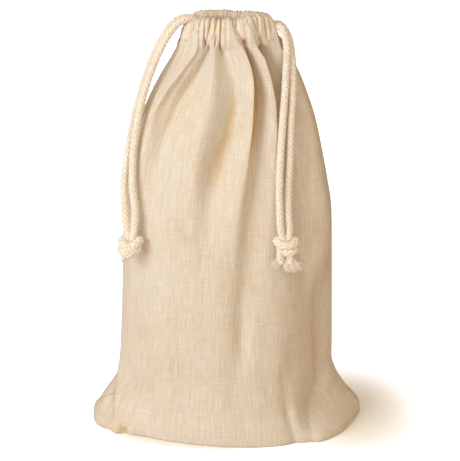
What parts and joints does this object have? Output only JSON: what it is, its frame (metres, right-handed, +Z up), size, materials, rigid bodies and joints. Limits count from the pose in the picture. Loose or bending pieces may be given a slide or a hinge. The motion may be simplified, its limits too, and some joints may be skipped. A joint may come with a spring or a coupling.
{
  "type": "cotton drawstring bag",
  "caption": "Soft unbleached cotton bag that stands on its base, its gathered neck drawn shut by two knotted cords in a stitched channel.",
  "frame": {"origin": "centre of the cloth's footprint, on the surface that the bag stands on", "axes": "+Z up along the bag to its mouth, +X along the base seam, to the right as seen from the front, and -Y towards the front panel"},
  "size_m": [0.2036, 0.1168, 0.3086],
  "materials": {
    "unbleached_cotton": "matte plain weave",
    "cotton_cord": "matte braid"
  },
  "bodies": {
    "root": {"front_panel": "unbleached_cotton", "back_panel": "unbleached_cotton", "cord_left": "cotton_cord", "cord_right": "cotton_cord", "knot_left": "cotton_cord", "knot_right": "cotton_cord"}
  },
  "joints": []
}
